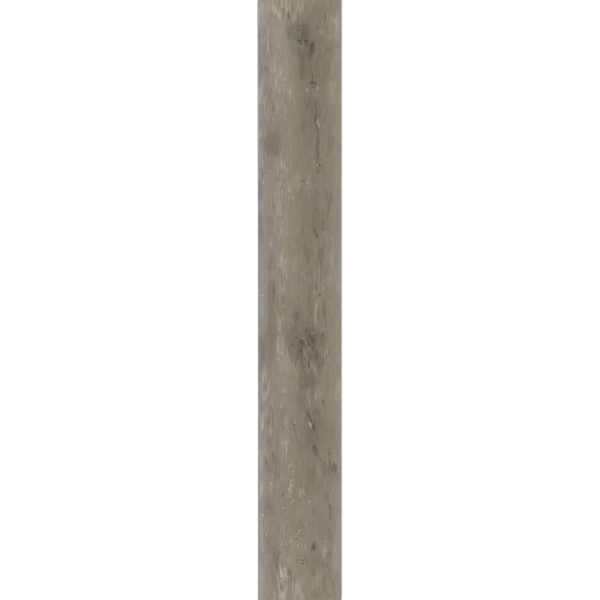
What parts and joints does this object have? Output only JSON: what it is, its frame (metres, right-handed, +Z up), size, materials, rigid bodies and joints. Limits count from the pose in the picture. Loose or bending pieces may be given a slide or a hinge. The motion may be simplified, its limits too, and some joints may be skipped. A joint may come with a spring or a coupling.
{
  "type": "rigid core vinyl plank",
  "caption": "Flat rigid core vinyl floor plank with a printed grey oak face, bevelled rim and a milled click tongue and groove round its edges.",
  "frame": {"origin": "on the underside, straight below the middle of the printed face, so that neighbours lie at whole steps of the face's width and length", "axes": "+Z up out of the printed face, Y along the plank's length, +X towards the long edge with the locking lip and -X towards the long edge with the tongue"},
  "size_m": [0.2165, 1.5165, 0.005],
  "materials": {
    "printed_vinyl": "matte"
  },
  "bodies": {
    "root": {"plank": "printed_vinyl"}
  },
  "joints": []
}
